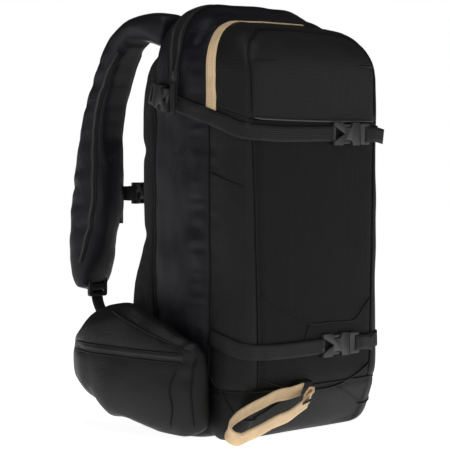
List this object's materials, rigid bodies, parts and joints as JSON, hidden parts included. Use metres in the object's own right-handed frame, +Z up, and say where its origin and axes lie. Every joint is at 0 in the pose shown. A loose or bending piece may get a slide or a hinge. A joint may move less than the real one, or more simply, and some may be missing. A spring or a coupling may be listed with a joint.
{
  "type": "airbag backpack",
  "caption": "Upright ski touring backpack with front tool pocket, compression straps, padded hip belt and a fan-inflated airbag packed behind the main compartment.",
  "frame": {"origin": "centre of the flat base that the pack stands on", "axes": "+Z up, -Y away from the wearer, -X the wearer's left"},
  "size_m": [0.334, 0.391, 0.5566],
  "materials": {
    "base_cloth": "coarse coated pack cloth",
    "front_twill": "matt twill",
    "front_coated": "coated smooth pack cloth",
    "ripstop": "ripstop nylon",
    "side_nylon": "glossy light nylon",
    "lining": "grey lining cloth",
    "back_mesh": "foam under spacer mesh",
    "frame_plastic": "polyethylene sheet",
    "stay_alloy": "plain alloy bar",
    "strap_mesh": "foam under mesh",
    "strap_nylon": "light nylon sleeve",
    "black_webbing": "woven nylon webbing",
    "tan_webbing": "woven webbing, pale tan",
    "grey_plastic": "moulded acetal, grey",
    "black_plastic": "moulded acetal, black",
    "hip_cloth": "smooth pack cloth over foam",
    "zip_tape": "coil zip on tape",
    "zip_metal": "painted die casting with a cord pull",
    "airbag_cloth": "folded coated airbag cloth",
    "motor_metal": "steel can",
    "fan_plastic": "moulded fan",
    "handle_plastic": "moulded pull handle"
  },
  "bodies": {
    "root": {"bag_bottom": "base_cloth", "pocket_front": "front_twill", "pocket_side_left": "ripstop", "pocket_side_right": "ripstop", "pocket_divider": "lining", "bag_side_left": "side_nylon", "bag_side_right": "side_nylon", "rear_partition": "lining", "back_panel": "back_mesh", "back_pads": "back_mesh", "lumbar_pad": "back_mesh", "frame_sheet": "frame_plastic", "frame_stays": "stay_alloy", "shoulder_strap_left": "strap_mesh", "shoulder_strap_right": "strap_mesh", "strap_sleeve_left": "strap_nylon", "strap_sleeve_right": "strap_nylon", "strap_webbing": "black_webbing", "ladder_locks": "grey_plastic", "haul_loop": "black_webbing", "sternum_rails": "black_plastic", "hip_fins": "hip_cloth", "front_strap_top": "black_webbing", "front_strap_bottom": "black_webbing", "top_buckle_female": "black_plastic", "bottom_buckle_female": "black_plastic", "side_straps": "black_webbing", "side_buckle_females": "black_plastic", "main_zip": "zip_tape", "airbag_zip": "zip_tape", "airbag": "airbag_cloth", "blower_housing": "black_plastic", "blower_motor": "motor_metal", "battery_case": "black_plastic", "tail_anchor": "black_webbing"},
    "pocket_lid": {"pocket_lid": "front_coated", "pocket_trim": "tan_webbing"},
    "main_lid": {"main_lid": "side_nylon"},
    "airbag_flap": {"airbag_flap": "side_nylon"},
    "top_male": {"top_buckle_male": "black_plastic"},
    "bottom_male": {"bottom_buckle_male": "black_plastic"},
    "side_male_left": {"side_buckle_male_left": "black_plastic"},
    "side_male_right": {"side_buckle_male_right": "black_plastic"},
    "sternum": {"sternum_webbing": "black_webbing", "sternum_buckle_female": "black_plastic"},
    "sternum_male": {"sternum_buckle_male": "black_plastic"},
    "hip_left": {"hip_wing_left": "hip_cloth", "hip_pocket_left": "hip_cloth", "hip_webbing_left": "black_webbing", "hip_buckle_female": "black_plastic"},
    "hip_right": {"hip_wing_right": "hip_cloth", "hip_webbing_right": "black_webbing", "hip_buckle_male": "black_plastic"},
    "main_zip_pull": {"main_zip_slider": "zip_metal"},
    "hip_zip_pull": {"hip_zip_slider": "zip_metal"},
    "tail_loop": {"tail_loop": "tan_webbing", "tail_glide": "black_plastic"},
    "fan": {"impeller": "fan_plastic"},
    "trigger": {"trigger_handle": "handle_plastic"},
    "button": {"power_button": "grey_plastic"}
  },
  "joints": [
    {"name": "pocket_lid_hinge", "type": "hinge", "parent": "root", "child": "pocket_lid", "pos_m": [0, -0.0885, 0.408], "axis": [1, 0, 0], "range_deg": [0, 95]},
    {"name": "main_lid_hinge", "type": "hinge", "parent": "root", "child": "main_lid", "pos_m": [0, -0.0208, 0.5374], "axis": [1, 0, 0], "range_deg": [0, 110]},
    {"name": "airbag_flap_hinge", "type": "hinge", "parent": "root", "child": "airbag_flap", "pos_m": [0, 0.0732, 0.5435], "axis": [-1, 0, 0], "range_deg": [0, 100]},
    {"name": "top_buckle_release", "type": "slide", "parent": "root", "child": "top_male", "axis": [1, 0, 0], "range_m": [0, 0.036]},
    {"name": "bottom_buckle_release", "type": "slide", "parent": "root", "child": "bottom_male", "axis": [1, 0, 0], "range_m": [0, 0.036]},
    {"name": "side_buckle_release_left", "type": "slide", "parent": "root", "child": "side_male_left", "axis": [0.1723, 0.9353, 0.309], "range_m": [0, 0.018]},
    {"name": "side_buckle_release_right", "type": "slide", "parent": "root", "child": "side_male_right", "axis": [-0.1723, 0.9353, 0.309], "range_m": [0, 0.018]},
    {"name": "sternum_height", "type": "slide", "parent": "root", "child": "sternum", "axis": [0, 0, 1], "range_m": [-0.028, 0.03]},
    {"name": "sternum_release", "type": "slide", "parent": "sternum", "child": "sternum_male", "axis": [1, 0, 0], "range_m": [0, 0.016]},
    {"name": "hip_wing_left_swing", "type": "hinge", "parent": "root", "child": "hip_left", "pos_m": [-0.144, 0.072, 0.08], "axis": [0, 0, 1], "range_deg": [0, 50]},
    {"name": "hip_wing_right_swing", "type": "hinge", "parent": "root", "child": "hip_right", "pos_m": [0.144, 0.072, 0.08], "axis": [0, 0, -1], "range_deg": [0, 50]},
    {"name": "hip_zip_slide", "type": "slide", "parent": "hip_left", "child": "hip_zip_pull", "axis": [0, -1, 0], "range_m": [0, 0.056]},
    {"name": "main_zip_slide", "type": "slide", "parent": "root", "child": "main_zip_pull", "axis": [0, 0, 1], "range_m": [0, 0.018]},
    {"name": "tail_loop_swing", "type": "hinge", "parent": "root", "child": "tail_loop", "pos_m": [-0.04, -0.096, 0.066], "axis": [-1, 0, 0], "range_deg": [0, 60]},
    {"name": "fan_spin", "type": "hinge", "parent": "root", "child": "fan", "pos_m": [-0.052, 0.06, 0.27], "axis": [0, 1, 0], "continuous": true},
    {"name": "trigger_pull", "type": "slide", "parent": "root", "child": "trigger", "axis": [0, 0, -1], "range_m": [0, 0.03]},
    {"name": "button_press", "type": "slide", "parent": "root", "child": "button", "axis": [0, 1, 0], "range_m": [0, 0.002], "stiffness_N_per_m": 300}
  ]
}
